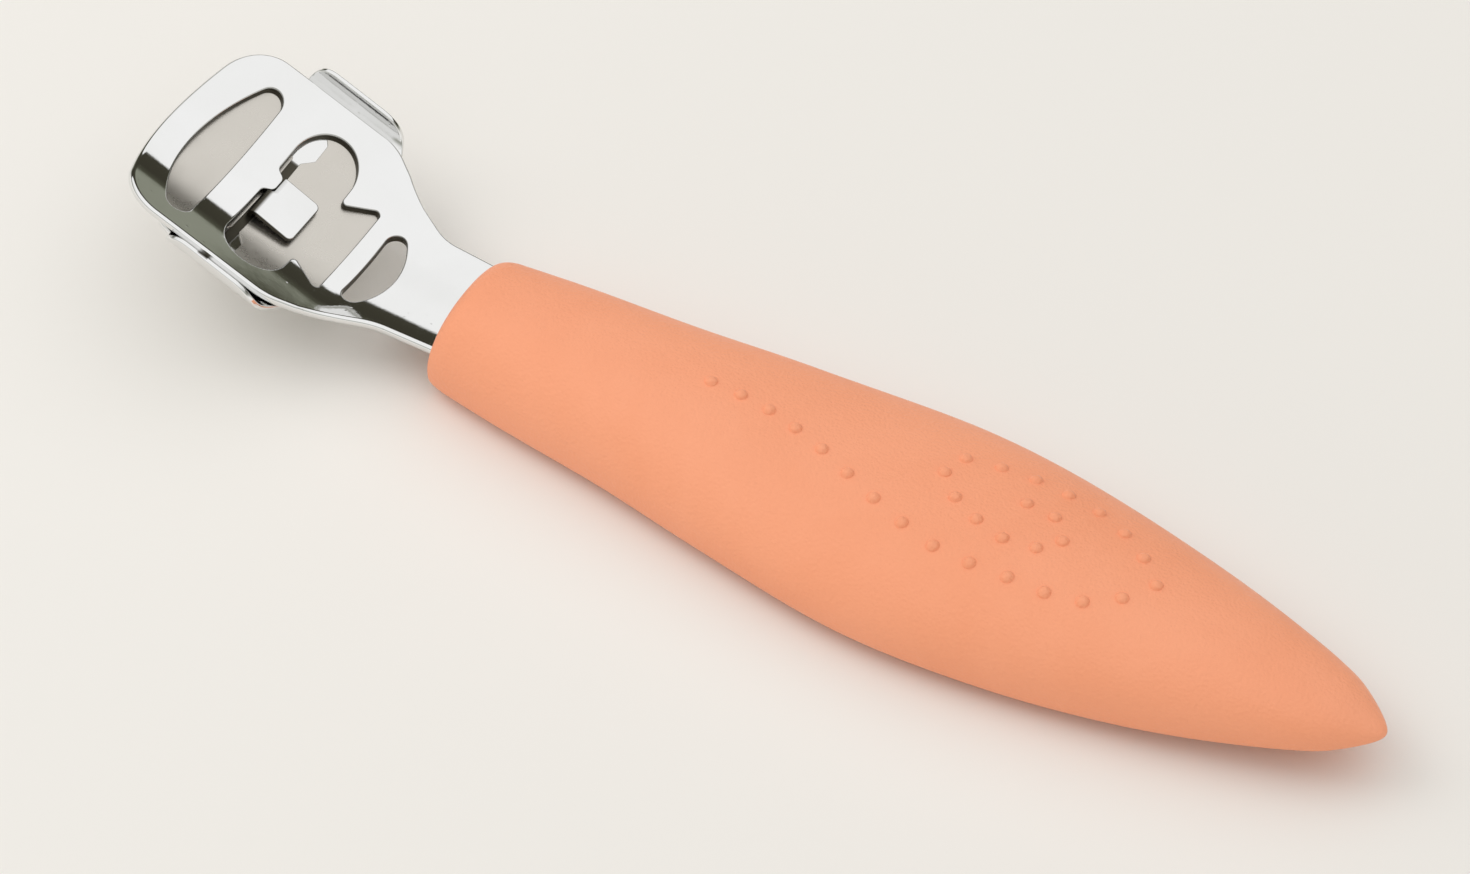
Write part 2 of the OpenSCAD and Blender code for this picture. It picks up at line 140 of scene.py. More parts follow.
# D-shaped hole: straight at s = start, bowed out to its length on an arc, with round ends. It
# reaches back from there, or with forward -1 towards the front edge
def bowLoop(start, length, endY, endR, forward=1):
    a = length - endR
    c = (a * a - endR * endR - endY * endY) / (2 * (a - endR))
    tangent = atan2(endY, endR - c)
    loop = np.vstack([arcPoints([c, 0], length - c, -tangent, tangent, bowSteps),
                      arcPoints([endR, endY], endR, tangent, pi),
                      arcPoints([endR, -endY], endR, pi, 2 * pi - tangent)])
    return loop * [forward, 1] + [start, 0]


# The same outline laid out again at even steps of its length
def evenLoop(loop, step):
    closed = np.vstack([loop, loop[:1]])
    run = np.concatenate([[0], np.cumsum(np.hypot(*np.diff(closed, axis=0).T))])
    at = np.linspace(0, run[-1], int(run[-1] / step), endpoint=False)
    return np.column_stack([np.interp(at, run, closed[:, k]) for k in (0, 1)])


# Half the sum of the edges' cross products, above zero where the loop runs left round
def signedArea(loop):
    x, y = loop.T
    return np.sum(x * np.roll(y, -1) - np.roll(x, -1) * y) / 2


# Unit normals to the left of a closed loop's run
def leftNormals(loop):
    run = np.roll(loop, -1, axis=0) - np.roll(loop, 1, axis=0)
    return np.column_stack([-run[:, 1], run[:, 0]]) / np.hypot(*run.T)[:, None]


# A point is inside when an odd number of edges crosses the line from it along +s
def insideLoops(points, loops):
    inside = np.zeros(len(points), bool)
    for loop in loops:
        s0, y0 = loop.T
        s1, y1 = np.roll(loop, -1, axis=0).T
        py = points[:, 1:]
        crosses = (y0 > py) != (y1 > py)
        rise = np.where(y1 == y0, 1, y1 - y0)
        crossS = s0 + (py - y0) * (s1 - s0) / rise
        inside ^= (crosses & (points[:, :1] < crossS)).sum(axis=1) % 2 == 1
    return inside


# Those points that lie inside the loops and at least gap away from all of them
def clearPoints(points, loops, gap):
    points = points[insideLoops(points, loops)]
    for loop in loops:
        near = np.min(np.hypot(points[:, :1] - loop[:, 0], points[:, 1:] - loop[:, 1]), axis=1)
        points = points[near > gap]
    return points


# Every pair of one of the values of s and one of those of y
def gridPoints(s, y):
    s, y = np.meshgrid(s, y)
    return np.column_stack([s.ravel(), y.ravel()])


# Triangular grid over the box round a loop
def planGrid(loop, pitch):
    low, high = loop.min(axis=0), loop.max(axis=0)
    rows = np.arange(low[1], high[1], pitch * rowShare)
    s, y = np.meshgrid(np.arange(low[0], high[0], pitch), rows)
    s[1::2] += pitch / 2
    return np.column_stack([s.ravel(), y.ravel()])


# Edge of a sheet as (distance in from its outline, share of its thickness): along the upper
# face, round a quarter circle, down, round a second one and in below
def edgeProfile(thickness, upperR, lowerR, steps=5):
    a = np.linspace(0, pi / 2, steps + 1)
    inset = max(upperR, lowerR) * insetShare
    upper = np.column_stack([upperR * (1 - np.sin(a)), upperR * (1 - np.cos(a))])
    lower = np.column_stack([lowerR * (1 - np.cos(a)), thickness - lowerR * (1 - np.sin(a))])
    return np.vstack([[inset, 0], upper, lower, [inset, thickness]]) / [1, thickness]


# Meshes

# Sum of the face normals round each vertex, weighted by area
def meshNormals(points, triangles):
    a, b, c = (points[triangles[:, k]] for k in range(3))
    faceNormal = np.cross(b - a, c - a)
    total = np.zeros_like(points)
    for k in range(3):
        np.add.at(total, triangles[:, k], faceNormal)
    return total / np.maximum(np.linalg.norm(total, axis=1, keepdims=True), 1e-12)


def newObject(name, data):
    made = bpy.data.objects.new(name, data)
    bpy.context.scene.collection.objects.link(made)
    return made


# Mesh and object of one piece, points in millimetres, with its own smooth normals
def newPiece(name, points, quads, triangles, normals, material, slot, *nodes, paintedShade=None):
    mesh = bpy.data.meshes.new(name)
    mesh.from_pydata((points * mm).tolist(), [], quads.tolist() + triangles.tolist())
    mesh.polygons.foreach_set("use_smooth", np.ones(len(mesh.polygons), bool))
    mesh.update()
    mesh.normals_split_custom_set_from_vertices(normals.tolist())
    mesh.materials.append(material)
    if paintedShade is not None:
        mesh.attributes.new("paintedShade", "FLOAT", "POINT").data.foreach_set("value", paintedShade)
    piece = newObject(name, mesh)
    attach(piece, "root")
    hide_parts(*nodes)
    print("made", name, len(mesh.polygons), "faces")


# Quads between closed rings of n points each, the first of which has the number start
def ringQuads(start, rings, n):
    j, k = np.arange(n), np.arange(rings - 1)[:, None]
    here, ahead = start + k * n + j, start + k * n + (j + 1) % n
    return np.stack([here, here + n, ahead + n, ahead], axis=-1).reshape(-1, 4)


# The two triangles of each quad
def splitQuads(quads):
    return np.vstack([quads[:, [0, 1, 2]], quads[:, [0, 2, 3]]])


# A sheet with rounded edges, each given as (outline, edge profile, strength of the painted shade on
# the cut face).
# Rings carry the profile round every outline, the faces between them are triangulated in plan,
# and place(s, y, share) puts a plan point at that share of the thickness into the part's frame.
# Normals on the faces come from the slopes of place, and shade(s, y) gives the painted shade on the
# upper face
def sheetPiece(name, edges, place, inside, gap, material, slot, *nodes, shade=lambda s, y: 0 * s):
    loops, profiles, cuts = zip(*edges)
    # The outer outline runs left round and the holes right round, so left is into the sheet
    loops = [loop if (signedArea(loop) > 0) == (k == 0) else loop[::-1]
             for k, loop in enumerate(loops)]
    insets = [loop + leftNormals(loop) * profile[0, 0] for loop, profile in zip(loops, profiles)]
    inside = clearPoints(inside, insets, gap)
    points, quads, upperIds, lowerIds, borderEdges, paintedShade = [], [], [], [], [], []
    count = borders = 0
    for loop, profile, cut in zip(loops, profiles, cuts):
        n = len(loop)
        left = leftNormals(loop)
        rings = [place(*(loop + left * inset).T, share) for inset, share in profile]
        points.append(np.vstack(rings))
        # Painted shade: dark on the cut walls, fading out from the edge, and on the upper face where
        # shade() gives it
        wall = np.repeat(cut * np.clip(1 - profile[:, 0] / shadeFade, 0, 1), n)
        upper = np.repeat(profile[:, 1] < 0.5, n) * np.tile(shade(*loop.T), len(profile))
        paintedShade.append(np.maximum(wall, upper))
        quads.append(ringQuads(count, len(profile), n))
        j = np.arange(n)
        upperIds.append(count + j)
        lowerIds.append(count + (len(profile) - 1) * n + j)
        borderEdges.append(np.column_stack([borders + j, borders + (j + 1) % n]))
        count += len(profile) * n
        borders += n
    upperIds.append(count + np.arange(len(inside)))
    lowerIds.append(count + len(inside) + np.arange(len(inside)))
    upperIds, lowerIds = np.concatenate(upperIds), np.concatenate(lowerIds)
    points += [place(*inside.T, 0), place(*inside.T, 1)]
    points, quads = np.vstack(points), np.vstack(quads)
    paintedShade = np.concatenate(paintedShade + [shade(*inside.T), np.zeros(len(inside))])

    plan = np.vstack(insets + [inside])
    flat = delaunay_2d_cdt(list(map(Vector, plan)), np.vstack(borderEdges).tolist(), [], 0, 1e-7)
    source = np.array([ids[0] for ids in flat[3]])
    triangles = source[np.array(flat[2])]
    triangles = triangles[insideLoops(plan[triangles].mean(axis=1), insets)]
    a, b, c = (plan[triangles[:, k]] for k in range(3))
    turnsLeft = (b - a)[:, 0] * (c - a)[:, 1] > (b - a)[:, 1] * (c - a)[:, 0]
    triangles = np.where(turnsLeft[:, None], triangles, triangles[:, ::-1])
    faces = np.vstack([upperIds[triangles], lowerIds[triangles[:, ::-1]]])

    normals = meshNormals(points, np.vstack([splitQuads(quads), faces]))
    step = 1e-3
    for ids, share, side in ((upperIds, 0, 1), (lowerIds, 1, -1)):
        s, y = plan.T
        along = place(s + step, y, share) - place(s - step, y, share)
        across = place(s, y + step, share) - place(s, y - step, share)
        slope = np.cross(along, across) * side
        normals[ids] = slope / np.linalg.norm(slope, axis=1, keepdims=True)
    newPiece(name, points, quads, faces, normals, material, slot, *nodes, paintedShade=paintedShade)


# Node groups and materials

# A value is a number or colour for the socket, or another node's output to link to it
def setInputs(tree, node, values):
    for socket, value in values.items():
        if isinstance(value, bpy.types.NodeSocket):
            tree.links.new(value, node.inputs[socket])
        else:
            node.inputs[socket].default_value = value


def addNode(tree, kind, values, **settings):
    node = tree.nodes.new(kind)
    for key, value in settings.items():
        setattr(node, key, value)
    setInputs(tree, node, values)
    return node


def noiseNode(tree, place, scale, detail, roughness=0.5, distortion=0):
    return addNode(tree, "ShaderNodeTexNoise", {"Vector": place, "Scale": scale, "Detail": detail,
                   "Roughness": roughness, "Distortion": distortion}).outputs["Fac"]


def cellNode(tree, place, scale):
    return addNode(tree, "ShaderNodeTexVoronoi", {"Vector": place, "Scale": scale}).outputs


def mathNode(tree, operation, *values, **settings):
    return addNode(tree, "ShaderNodeMath", dict(enumerate(values)), operation=operation,
                   **settings).outputs["Value"]


# Blend of two colours, each of them three numbers or another node's output
def mixColor(tree, share, *colors):
    a, b = ((*color, 1) if isinstance(color, tuple) else color for color in colors)
    return addNode(tree, "ShaderNodeMix", {"Factor": share, "A": a, "B": b},
                   data_type="RGBA").outputs["Result"]


# Bumps laid over one another, each given as (height, strength, distance, whether it goes in)
def bumpNodes(tree, *bumps):
    below = {}
    for height, strength, distance, invert in bumps:
        bump = addNode(tree, "ShaderNodeBump", {"Height": height, "Strength": strength,
                       "Distance": distance, **below}, invert=invert)
        below = {"Normal": bump.outputs["Normal"]}
    return below["Normal"]


# A group that takes a vector and the named numbers, and puts out one number
def newGroup(name, numbers, result):
    group = bpy.data.node_groups.new(name, "ShaderNodeTree")
    group.interface.new_socket("Vector", in_out="INPUT", socket_type="NodeSocketVector")
    for label, value in numbers.items():
        socket = group.interface.new_socket(label, in_out="INPUT", socket_type="NodeSocketFloat")
        socket.default_value = value
    group.interface.new_socket(result, in_out="OUTPUT", socket_type="NodeSocketFloat")
    return group, group.nodes.new("NodeGroupInput").outputs, group.nodes.new("NodeGroupOutput")


# Soft cloudy patches between Low and High, as from handling and wiping
def smudgeGroup():
    group, given, out = newGroup("smudges", {"Size": 100, "Low": 0.05, "High": 0.1}, "Value")
    cloud = noiseNode(group, given["Vector"], given["Size"], 5, 0.6, 0.6)
    spread = addNode(group, "ShaderNodeMapRange", {"Value": cloud, "From Min": 0.35,
                     "From Max": 0.7, "To Min": given["Low"], "To Max": given["High"]})
    setInputs(group, out, {"Value": spread.outputs["Result"]})
    return group


# Fine irregular grain: a noise and the distance to scattered cell centres, half of each
def grainGroup():
    group, given, out = newGroup("fineGrain", {"Fineness": 2000}, "Height")
    noise = noiseNode(group, given["Vector"], given["Fineness"], 3, 0.55)
    cells = cellNode(group, given["Vector"], given["Fineness"])
    both = mathNode(group, "ADD", noise, cells["Distance"])
    setInputs(group, out, {"Height": mathNode(group, "MULTIPLY", both, 0.5)})
    return group


# Small sparse pits: cells of a Voronoi pattern whose centre is near, and only the given share of
# the cells, picked by their random colour
def pitGroup():
    group, given, out = newGroup("pits", {"Density": 900, "Width": 0.1, "Share": 0.3}, "Mask")
    cells = cellNode(group, given["Vector"], given["Density"])
    rim = mathNode(group, "SUBTRACT", given["Width"], cells["Distance"])
    core = mathNode(group, "DIVIDE", rim, given["Width"], use_clamp=True)
    pick = addNode(group, "ShaderNodeSeparateColor", {"Color": cells["Color"]})
    kept = mathNode(group, "LESS_THAN", pick.outputs["Red"], given["Share"])
    setInputs(group, out, {"Mask": mathNode(group, "MULTIPLY", core, kept)})
    return group


smudges, fineGrain, pits = smudgeGroup(), grainGroup(), pitGroup()


def newMaterial(name):
    material = bpy.data.materials.new(name)
    material.use_nodes = True
    tree = material.node_tree
    shader = tree.nodes["Principled BSDF"]
    place = addNode(tree, "ShaderNodeTexCoord", {}).outputs["Object"]
    return material, tree, shader, place


def groupNode(tree, group, values):
    return addNode(tree, "ShaderNodeGroup", values, node_tree=group).outputs


def smudgeNode(tree, place, size, low, high):
    return groupNode(tree, smudges, {"Vector": place, "Size": size, "Low": low,
                                     "High": high})["Value"]


def cloudyRough(tree, place, finish):
    return smudgeNode(tree, place, finish["roughSize"], finish["roughLow"], finish["roughHigh"])


# The sizes of clouds and noises are in patches to the metre
chromeFinish = {
    "color": (0.81, 0.81, 0.805),
    "patchColor": (0.78, 0.78, 0.77),
    "patchSize": 60,
    "paintedShadeColor": (0.075, 0.068, 0.052),    # painted shade on the stamped holes' walls, for the shadow in the gap below them
    "cutRough": 0.35,       # how much rougher they are
    "roughLow": 0.03,
    "roughHigh": 0.08,
    "roughSize": 140,
    "waviness": 0.35,       # of the polished face, as bump strength
    "waveSize": 420,
    "texture": 0.4,         # of its fine orange peel
    "textureSize": 4200,
    "pitShare": 0.06,       # of the pit cells that hold a pit
    "pitDepth": 0.25,
    "pitDensity": 1500,
    "pitWidth": 0.3,
}


# Bright chrome: cloudy roughness from wiping, a faint waviness and peel of the polished sheet and
# fine pits that break up the edge of each reflection. The paintedShade attribute, 0 to 1, paints
# shade in paintedShadeColor on the walls and strips that lie in shadow, and makes them rougher by
# cutRough
def chromeMaterial(name, finish):
    material, tree, shader, place = newMaterial(name)
    patches = smudgeNode(tree, place, finish["patchSize"], 0, 1)
    color = mixColor(tree, patches, finish["color"], finish["patchColor"])
    wipe = cloudyRough(tree, place, finish)
    wave = noiseNode(tree, place, finish["waveSize"], 2)
    peel = noiseNode(tree, place, finish["textureSize"], 3)
    pit = groupNode(tree, pits, {"Vector": place, "Density": finish["pitDensity"],
                                 "Width": finish["pitWidth"], "Share": finish["pitShare"]})
    # Painted shade: this attribute darkens the walls and strips that lie in shadow
    shadeShare = addNode(tree, "ShaderNodeAttribute", {}, attribute_name="paintedShade").outputs["Fac"]
    setInputs(tree, shader, {
        "Base Color": mixColor(tree, shadeShare, color, finish["paintedShadeColor"]),
        "Roughness": mathNode(tree, "MULTIPLY_ADD", shadeShare, finish["cutRough"], wipe),
        "Normal": bumpNodes(tree, (wave, finish["waviness"], 0.00002, False),
                            (peel, finish["texture"], 0.000004, False),
                            (pit["Mask"], finish["pitDepth"], 0.00005, True)),
        "Metallic": 1})
    return material


bladeFinish = {
    "color": (0.62, 0.59, 0.54),
    "streakColor": (0.54, 0.51, 0.46),
    "streakSize": 110,
    "roughLow": 0.25,
    "roughHigh": 0.33,
    "roughSize": 180,
    "grind": 0.12,          # depth of the grinding lines, as bump strength
    "grindScale": (5200, 160, 5200),    # and their fineness along X, Y and Z
}


# Satin steel strip: fine grinding lines across the tool, a Noise drawn out along Y
def bladeMaterial(finish):
    material, tree, shader, place = newMaterial("satinSteel")
    stretch = addNode(tree, "ShaderNodeMapping", {"Vector": place, "Scale": finish["grindScale"]})
    lines = noiseNode(tree, stretch.outputs["Vector"], 1, 4, 0.6)
    cloud = smudgeNode(tree, place, finish["streakSize"], 0, 0.45)
    streaks = mathNode(tree, "MULTIPLY_ADD", lines, cloud, 0.1)
    setInputs(tree, shader, {
        "Base Color": mixColor(tree, streaks, finish["color"], finish["streakColor"]),
        "Roughness": cloudyRough(tree, place, finish),
        "Normal": bumpNodes(tree, (lines, finish["grind"], 0.00002, False)),
        "Metallic": 1})
    return material


handleFinish = {
    "color": (0.95, 0.372, 0.200),
    "deepColor": (0.92, 0.345, 0.178),
    "deepSize": 45,
    "roughLow": 0.48,
    "roughHigh": 0.58,
    "roughSize": 70,
    "grain": 0.6,           # depth of the spark-eroded grain, as bump strength
    "grainFineness": 2300,
}


# Matt moulded plastic: a fine sandy grain over the whole face and hardly any change of colour
def handleMaterial(finish):
    material, tree, shader, place = newMaterial("mattePlastic")
    deep = smudgeNode(tree, place, finish["deepSize"], 0, 1)
    grain = groupNode(tree, fineGrain, {"Vector": place, "Fineness": finish["grainFineness"]})
    setInputs(tree, shader, {
        "Base Color": mixColor(tree, deep, finish["color"], finish["deepColor"]),
        "Roughness": cloudyRough(tree, place, finish),
        "Normal": bumpNodes(tree, (grain["Height"], finish["grain"], 0.0002, False)),
        "Sheen Weight": 0.05, "Sheen Roughness": 0.5})
    return material


plateChrome = chromeMaterial("plateChrome", chromeFinish)
guardChrome = chromeMaterial("guardChrome", {**chromeFinish, "pitShare": 0.15, "roughHigh": 0.14})
satinSteel = bladeMaterial(bladeFinish)
mattePlastic = handleMaterial(handleFinish)
print("materials made")

# Head plate
headPlate = {
    "length": 30.4,         # from the bend to the front edge
    "halfWidth": 14.7,
    "frontR": 38.0,         # of the front edge in plan
    "cornerR": 6.5,
    "shoulderFront": 6.0,   # from the bend forward to where the shoulders meet the sides
    "shoulderBack": 6.8,    # and back to where they meet the tang
    "shoulderR": 8.0,
    "tangHalfWidth": 8.2,
    "tangEnd": 67.0,
    "tangEndHalfWidth": 5.5,
    "tangEndR": 3.0,
    "rearStrip": 2.4,       # between the bend and the rear window
    "rearWindowL": 13.3,
    "lobeR": 4.2,           # the two round lobes of the rear window
    "lobeY": 7.1,
    "toothY": 4.9,          # tips of the two teeth behind the lobes
    "toothR": 0.6,
    "rearWindowHalfWidth": 7.2,
    "backCutL": 0.5,        # its cut back corners
    "backCutW": 0.4,
    "crossbarW": 4.45,
    "bumpR": 1.35,          # the bump on the crossbar's rear edge
    "bumpY": 2.2,
    "bumpFoot": 1.3,        # half widths of its foot and its top, as shares of bumpR
    "bumpTop": 0.75,
    "frontWindowL": 6.15,
    "frontWindowY": 9.6,
    "frontWindowEndR": 1.7,
    "moonGap": 0.25,        # between the bend and the half-moon hole behind it
    "moonL": 4.3,
    "moonY": 4.6,
    "moonEndR": 1.45,
    "rimR": 0.6,            # rounding of the outline's upper edge, as stamping leaves it
    "holeEdgeR": 0.22,      # and of the holes' upper edges
    "lowerEdgeR": 0.15,
    "pitch": 0.7,           # of the mesh inside the outlines
    "gap": 0.22,            # between that mesh and them
    "bendRows": 15,         # straight rows of the mesh along the bend
    "bendPitch": 0.4,
}
rearWindowFront = headPlate["rearStrip"] + headPlate["rearWindowL"]


# Front edge on one arc, its corners on two smaller ones that touch it, the sides straight, and
# the shoulders running into the tapered tang
def headOutline(size):
    halfW, length, cornerR = size["halfWidth"], size["length"], size["cornerR"]
    frontS = size["frontR"] - length
    cornerY = halfW - cornerR
    cornerS = frontS - sqrt((size["frontR"] - cornerR) ** 2 - cornerY ** 2)
    turn = atan2(cornerY, frontS - cornerS)
    tangSide = (size["shoulderBack"], size["tangHalfWidth"])
    shoulder = (-size["shoulderFront"], halfW)
    tangEnd = (size["tangEnd"], size["tangEndHalfWidth"])
    side = np.vstack([
        arcPoints([frontS, 0], size["frontR"], pi, pi - turn),
        arcPoints([cornerS, cornerY], cornerR, pi - turn, pi / 2),
        cornerPoints((cornerS, halfW), shoulder, tangSide, size["shoulderR"]),
        cornerPoints(shoulder, tangSide, tangEnd, size["shoulderR"]),
        cornerPoints(tangSide, tangEnd, (size["tangEnd"], 0), size["tangEndR"])])
    return np.vstack([side, side[::-1] * [1, -1]])


# Two round lobes in front with the crossbar's bump standing in between them, a tooth behind
# each, and a straight back edge
def rearWindow(size):
    front = -rearWindowFront
    lobeBack = front + 2 * size["lobeR"]
    outer = size["lobeY"] + size["lobeR"]
    back, halfW = -size["rearStrip"], size["rearWindowHalfWidth"]
    lobeR = size["lobeR"] * 0.995    # a hair less, so that a short straight is left between
    side = [(front, outer, lobeR), (lobeBack, outer, lobeR),
            (lobeBack + 0.1, size["toothY"], size["toothR"]),
            (back - size["backCutL"], halfW, 0.6), (back, halfW - size["backCutW"], 0.2)]
    bumpTop, bumpY = front + size["bumpR"], size["bumpY"]
    foot, top = size["bumpR"] * size["bumpFoot"], size["bumpR"] * size["bumpTop"]
    bump = [(front, bumpY - foot, 0.7), (bumpTop, bumpY - top, 0.9),
            (bumpTop, bumpY + top, 0.9), (front, bumpY + foot, 0.7)]
    return roundedLoop(bothSides(side) + bump)


# The pressed height, its face offset downwards by a share of the thickness
def headPlace(s, y, share):
    return onTool(s, y, pressedHeight(y, -tool["plateT"] * share))


def makeHeadPlate(size):
    frontWindow = bowLoop(-rearWindowFront - size["crossbarW"], size["frontWindowL"],
                          size["frontWindowY"], size["frontWindowEndR"], -1)
    moon = bowLoop(size["moonGap"], size["moonL"], size["moonY"], size["moonEndR"])
    loops = [evenLoop(loop, outlineStep)
             for loop in (headOutline(size), rearWindow(size), frontWindow, moon)]
    grid = planGrid(loops[0], size["pitch"])
    grid = grid[np.abs(grid[:, 0]) > 1.7 * bendReach]
    # Rows of its own lie along the bend and half as far again to both sides
    bend = gridPoints(np.linspace(-1.5, 1.5, size["bendRows"]) * bendReach,
                      np.arange(-13, 13, size["bendPitch"]))
    rim = edgeProfile(tool["plateT"], size["rimR"], 2 * size["lowerEdgeR"])
    hole = edgeProfile(tool["plateT"], size["holeEdgeR"], size["lowerEdgeR"])
    # The holes' walls carry painted shade and the outer edge none
    edges = [(loops[0], rim, 0)] + [(loop, hole, 1) for loop in loops[1:]]
    sheetPiece("headPlate", edges, headPlace, np.vstack([grid, bend]), size["gap"],
               plateChrome, "head_plate", "head_plate")


makeHeadPlate(headPlate)

# Blade
blade = {
    "width": 25.6,          # along the tool, from one cutting edge to the other
    "halfLength": 13.3,
    "nip": 2.2,             # the cut corners
    "nipR": 0.3,
    "slotW": 1.1,
    "slotEndW": 3.7,        # the six-sided ends of the slot
    "slotEndY": 6.7,
    "slotEndL": 4.9,
    "slotR": 0.15,
    "slotPlay": 0.15,       # from the hook's front face to the slot's front edge
    "hookSetBack": 0.5,     # from the crossbar back to the hook's front face
    "grind": 1.3,           # width of the ground edges, on the lower face
    "edgeShare": 0.15,      # of the thickness that is left at the cutting edges
    "edgeR": 0.05,
    "pitch": 0.6,
    "gap": 0.22,
}
hookFront = rearWindowFront - blade["hookSetBack"]
slotMiddle = hookFront + blade["slotPlay"] - blade["slotW"] / 2


# The lower face climbs to the upper one over the ground width of both cutting edges
def bladePlace(s, y, share):
    reach = blade["width"] / 2 - np.abs(s + slotMiddle)
    edge = blade["edgeShare"]
    ground = np.clip(edge + (1 - edge) * reach / blade["grind"], edge, 1)
    return onTool(s, y, pressedHeight(y, -tool["plateT"] - tool["bladeT"] * share * ground))


def makeBlade(size):
    half, halfL, nip = size["width"] / 2, size["halfLength"], size["nip"]
    side = [(-half, halfL - nip), (nip - half, halfL), (half - nip, halfL), (half, halfL - nip)]
    slant = (size["slotEndW"] - size["slotW"]) / 2
    slotW, endW, near = size["slotW"] / 2, size["slotEndW"] / 2, size["slotEndY"]
    far = near + size["slotEndL"]
    slot = [(-slotW, near), (-endW, near + slant), (-endW, far - slant), (-slotW, far),
            (slotW, far), (endW, far - slant), (endW, near + slant), (slotW, near)]
    loops = []
    for corners, r in ((side, size["nipR"]), (slot, size["slotR"])):
        loop = roundedLoop(bothSides([(s, y, r) for s, y in corners])) - [slotMiddle, 0]
        loops.append(evenLoop(loop, outlineStep))
    profile = edgeProfile(tool["bladeT"], size["edgeR"], size["edgeR"], 2)
    sheetPiece("blade", [(loop, profile, 0) for loop in loops], bladePlace,
               planGrid(loops[0], size["pitch"]), size["gap"], satinSteel, "blade", "blade")


makeBlade(blade)

# Guard plate. Its width is laid out flat: up to curlFrom it is pressed like the head plate,
# and past that it turns up round an arc into the ears' rims
guard = {
    "edgeReach": 1.6,       # how far the cutting edges stand out past it
    "earFront": 20.0,       # front end of the ears' rims
    "earFoot": 2.2,         # how far the foot of each ear reaches in front of that
    "earSlant": 3.6,        # how much further forward their back ends lie than the back edge
    "curlFrom": 14.7,
    "curlR": 2.4,           # inside the curl
    "curlTo": 89.0,         # degrees from level at the rims
    "rimTop": 0.65,         # straight rim above the curl
    "leanL": 3.0,           # before the curl, where its lower face turns square to the flank
    "slotShade": 1.0,       # strength of the painted shade on the strip that shows through the blade's slot
    "frontR": 2.8,          # of the ears' front corners
    "backR": 5.0,           # and of their back corners
    "endInset": 1.0,        # from the blade's ends in to those of the plate
    "cornerR": 1.5,
    "footR": 1.0,
    "nickR": 0.3,
    "edgeR": 0.2,
    "pitch": 0.7,
    "curlPitch": 0.22,      # between the rows of the mesh round the curl
    "gap": 0.09,
}
guardTop = -tool["plateT"] - tool["bladeT"]
curlTurn = radians(guard["curlTo"]) - flankSlope
curlLength = (guard["curlR"] + tool["guardT"] / 2) * curlTurn
earQ = guard["curlFrom"] + curlLength + guard["rimTop"]


# Up to curlFrom the pressed height below the blade, then an arc of radius curlR, then straight
def guardPlace(s, q, share):
    depth, curlFrom, leanL = tool["guardT"] * share, guard["curlFrom"], guard["leanL"]
    side, sign = np.abs(q), np.where(q < 0, -1, 1)
    lean = np.clip((side - curlFrom + leanL) / leanL, 0, 1) * depth * sin(flankSlope)
    flankY = np.minimum(side, curlFrom) + lean
    flankN = pressedHeight(flankY, guardTop - depth)
    # The curl's centre stands square above the end of the flank
    past = np.clip(side - curlFrom, 0, curlLength)
    turn = flankSlope + past / curlLength * curlTurn
    r = guard["curlR"] + depth
    rim = np.maximum(side - curlFrom - curlLength, 0)
    y = flankY + r * (np.sin(turn) - sin(flankSlope)) + rim * np.cos(turn)
    n = flankN + r * (cos(flankSlope) - np.cos(turn)) + rim * np.sin(turn)
    return onTool(s, sign * y, n)


# Painted shade under the narrow part of the slot and its end at the minus side, where the slot lies
# in shadow, and none elsewhere
def slotShade(s, q):
    along = np.clip((blade["slotW"] / 2 + 0.25 - np.abs(s + slotMiddle)) / shadeFade, 0, 1)
    across = np.clip((blade["slotEndY"] - 0.2 - q) / shadeFade, 0, 1)
    return guard["slotShade"] * along * across


def makeGuardPlate(size):
    reach = blade["width"] / 2 - size["edgeReach"]
    front, back = slotMiddle + reach, slotMiddle - reach
    neck, side = blade["halfLength"] - size["endInset"], headPlate["halfWidth"]
    foot = side - tool["guardT"]
    footS, earS = -size["earFront"] - size["earFoot"], -size["earFront"]
    corners = [(-front, neck, size["cornerR"]), (footS, neck, size["nickR"]),
               (footS, foot, size["footR"]), (earS, side, size["nickR"]),
               (earS, earQ, size["frontR"]), (-back - size["earSlant"], earQ, size["backR"]),
               (-back, neck, size["cornerR"])]
    loop = evenLoop(roundedLoop(bothSides(corners)), outlineStep)
    profile = edgeProfile(tool["guardT"], size["edgeR"], size["edgeR"], 4)
    # The mesh is closer where the sheet curls and round the edge of the slot's painted-shade strip
    rows = np.arange(size["curlFrom"] - 0.2, earQ, size["curlPitch"])
    curl = gridPoints(np.arange(-23, -2, 0.5), np.concatenate([-rows, rows]))
    slot = gridPoints(np.arange(-0.9, 0.95, 0.12) - slotMiddle, np.arange(-12.4, 7.4, 0.2))
    grid = planGrid(loop, size["pitch"])
    grid = grid[(np.abs(grid[:, 1]) < rows[0] - 0.3) & (np.abs(grid[:, 0] + slotMiddle) > 1.2)]
    inside = np.vstack([grid, curl, slot])
    sheetPiece("guardPlate", [(loop, profile, 0)], guardPlace, inside, size["gap"],
               guardChrome, "blade_holder", "blade_holder", shade=slotShade)


makeGuardPlate(guard)

